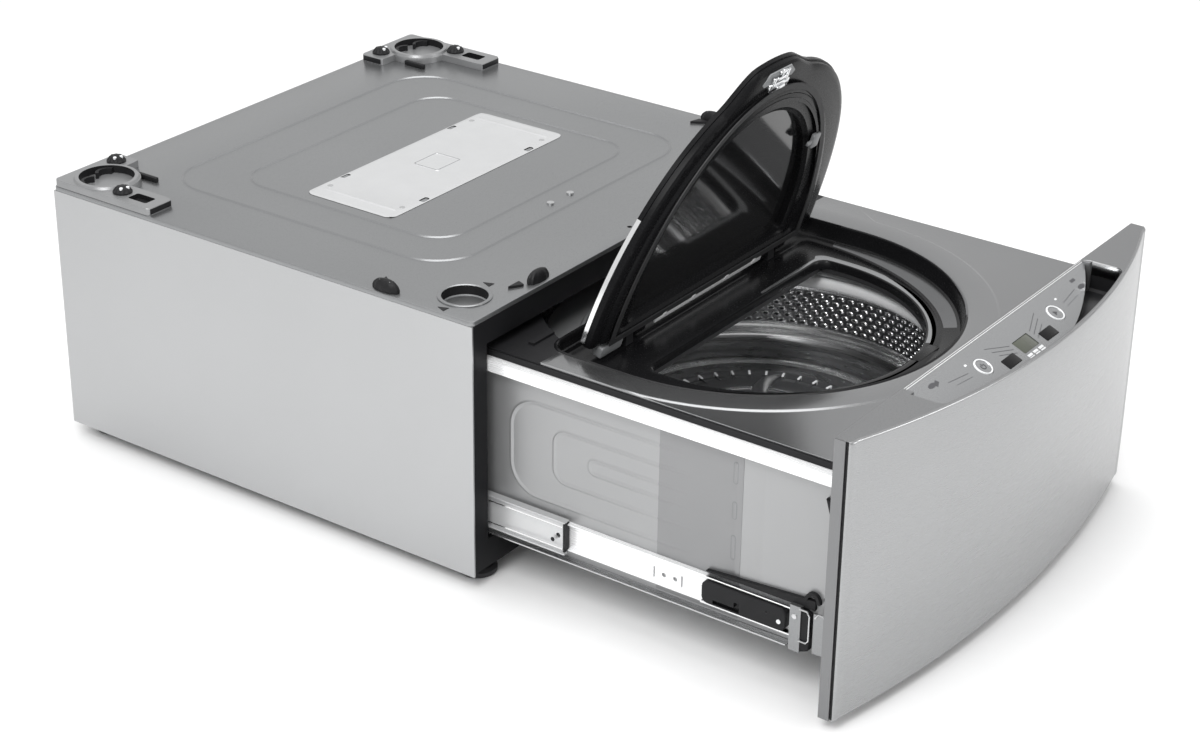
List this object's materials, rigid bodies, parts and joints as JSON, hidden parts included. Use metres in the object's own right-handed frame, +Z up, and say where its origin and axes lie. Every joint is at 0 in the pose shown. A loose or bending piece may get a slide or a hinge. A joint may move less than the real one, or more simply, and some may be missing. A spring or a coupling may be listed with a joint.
{
  "type": "pedestal drawer washing machine",
  "caption": "Low pedestal washing machine: a drawer on telescopic slides with a bowed front holds a vertical-axis wash tub under a hinged oval lid.",
  "frame": {"origin": "centre of the bounding box footprint at floor level", "axes": "+Z up; -Y is the front, where the drawer comes out; +X is the right-hand side seen from the front"},
  "size_m": [0.686, 1.202, 0.5963],
  "materials": {
    "sheet_silver": "satin silver-grey enamel",
    "sheet_grey": "satin mid-grey enamel",
    "sheet_dark": "satin black enamel",
    "plate_white": "light zinc-coated plate",
    "zinc_steel": "zinc-plated steel",
    "rail_white": "bright white-silver enamel",
    "skin_steel": "brushed stainless skin",
    "deck_grey": "metallic grey plastic",
    "plastic_black": "matt black plastic",
    "gloss_black": "gloss black plastic",
    "plastic_white": "white plastic",
    "plastic_grey": "grey plastic",
    "fascia_silver": "silver painted plastic",
    "display_glass": "dark display window",
    "board_green": "circuit board",
    "smoked_glass": "smoked toughened glass",
    "rubber_black": "black rubber",
    "chrome_trim": "bright trim",
    "drum_steel": "polished stainless drum",
    "winding_copper": "motor laminations and windings",
    "tub_plastic": "grey tub plastic"
  },
  "bodies": {
    "cabinet": {"cabinet_side_left": "sheet_silver", "cabinet_side_right": "sheet_silver", "top_plate": "sheet_grey", "access_plate": "plate_white", "cabinet_beams": "zinc_steel", "rear_panel": "zinc_steel", "base_frame": "sheet_dark", "front_frame": "sheet_dark", "outer_rails": "zinc_steel", "foot_pads": "rubber_black", "foot_screws": "zinc_steel", "rear_retainers": "plastic_grey", "front_retainers": "plastic_black", "cabinet_screws": "zinc_steel", "water_inlets": "plastic_white", "drain_outlet": "plastic_black"},
    "slides": {"middle_rails": "zinc_steel"},
    "drawer": {"drawer_side_left": "sheet_grey", "drawer_side_right": "sheet_grey", "drawer_pan": "zinc_steel", "top_rails": "rail_white", "deck_panel": "deck_grey", "deck_trims": "plastic_black", "rear_deck": "plastic_black", "lid_seat": "plastic_black", "opening_seal": "rubber_black", "hinge_brackets": "plastic_black", "lid_lock": "plastic_black", "inner_rails": "rail_white", "soft_close_units": "plastic_black", "rail_end_brackets": "zinc_steel", "panel_back": "plastic_white", "panel_core": "plastic_black", "front_skin": "skin_steel", "handle_pocket": "plastic_black", "control_fascia": "fascia_silver", "display_window": "display_glass", "control_board": "board_green", "suspension_rods": "zinc_steel", "suspension_springs": "zinc_steel", "drain_pump": "plastic_white", "controller_box": "plastic_black"},
    "power_button": {"power_button": "fascia_silver"},
    "start_button": {"start_button": "fascia_silver"},
    "cycle_key": {"cycle_key": "gloss_black"},
    "temp_key": {"temp_key": "gloss_black"},
    "lid": {"lid_frame": "gloss_black", "lid_trim": "chrome_trim", "lid_window": "smoked_glass", "lid_gasket": "rubber_black", "lid_latch": "zinc_steel", "lid_pins": "zinc_steel"},
    "tub": {"tub": "tub_plastic", "tub_cover": "tub_plastic", "stator": "winding_copper"},
    "basket": {"basket": "drum_steel", "balance_ring": "plastic_grey", "spin_tube": "zinc_steel"},
    "pulsator": {"pulsator": "plastic_grey", "rotor": "zinc_steel"}
  },
  "joints": [
    {"name": "drawer_slide", "type": "slide", "parent": "cabinet", "child": "drawer", "axis": [0, 1, 0], "range_m": [0, 0.066]},
    {"name": "slide_member", "type": "slide", "parent": "cabinet", "child": "slides", "axis": [0, 1, 0], "range_m": [0, 0.04]},
    {"name": "lid_hinge", "type": "hinge", "parent": "drawer", "child": "lid", "pos_m": [-0.018, -0.143, 0.287], "axis": [1, 0, 0], "range_deg": [0, 72]},
    {"name": "tub_bounce", "type": "slide", "parent": "drawer", "child": "tub", "axis": [0, 0, 1], "range_m": [-0.006, 0.003], "stiffness_N_per_m": 12000, "deforming": ["suspension_springs"]},
    {"name": "basket_spin", "type": "hinge", "parent": "tub", "child": "basket", "pos_m": [-0.018, -0.231, 0.018], "axis": [0, 0, 1], "continuous": true},
    {"name": "pulsator_spin", "type": "hinge", "parent": "tub", "child": "pulsator", "pos_m": [-0.018, -0.231, 0.018], "axis": [0, 0, 1], "continuous": true},
    {"name": "power_press", "type": "slide", "parent": "drawer", "child": "power_button", "axis": [0, 0.3907, -0.9205], "range_m": [0, 0.0015], "stiffness_N_per_m": 500, "springref_m": -0.0005},
    {"name": "start_press", "type": "slide", "parent": "drawer", "child": "start_button", "axis": [0, 0.3907, -0.9205], "range_m": [0, 0.0015], "stiffness_N_per_m": 500, "springref_m": -0.0005},
    {"name": "cycle_press", "type": "slide", "parent": "drawer", "child": "cycle_key", "axis": [0, 0.3907, -0.9205], "range_m": [0, 0.0012], "stiffness_N_per_m": 500, "springref_m": -0.0005},
    {"name": "temp_press", "type": "slide", "parent": "drawer", "child": "temp_key", "axis": [0, 0.3907, -0.9205], "range_m": [0, 0.0012], "stiffness_N_per_m": 500, "springref_m": -0.0005}
  ],
  "couplings": [
    {"joint": "slide_member", "follows": "drawer_slide", "ratio": 0.6}
  ]
}
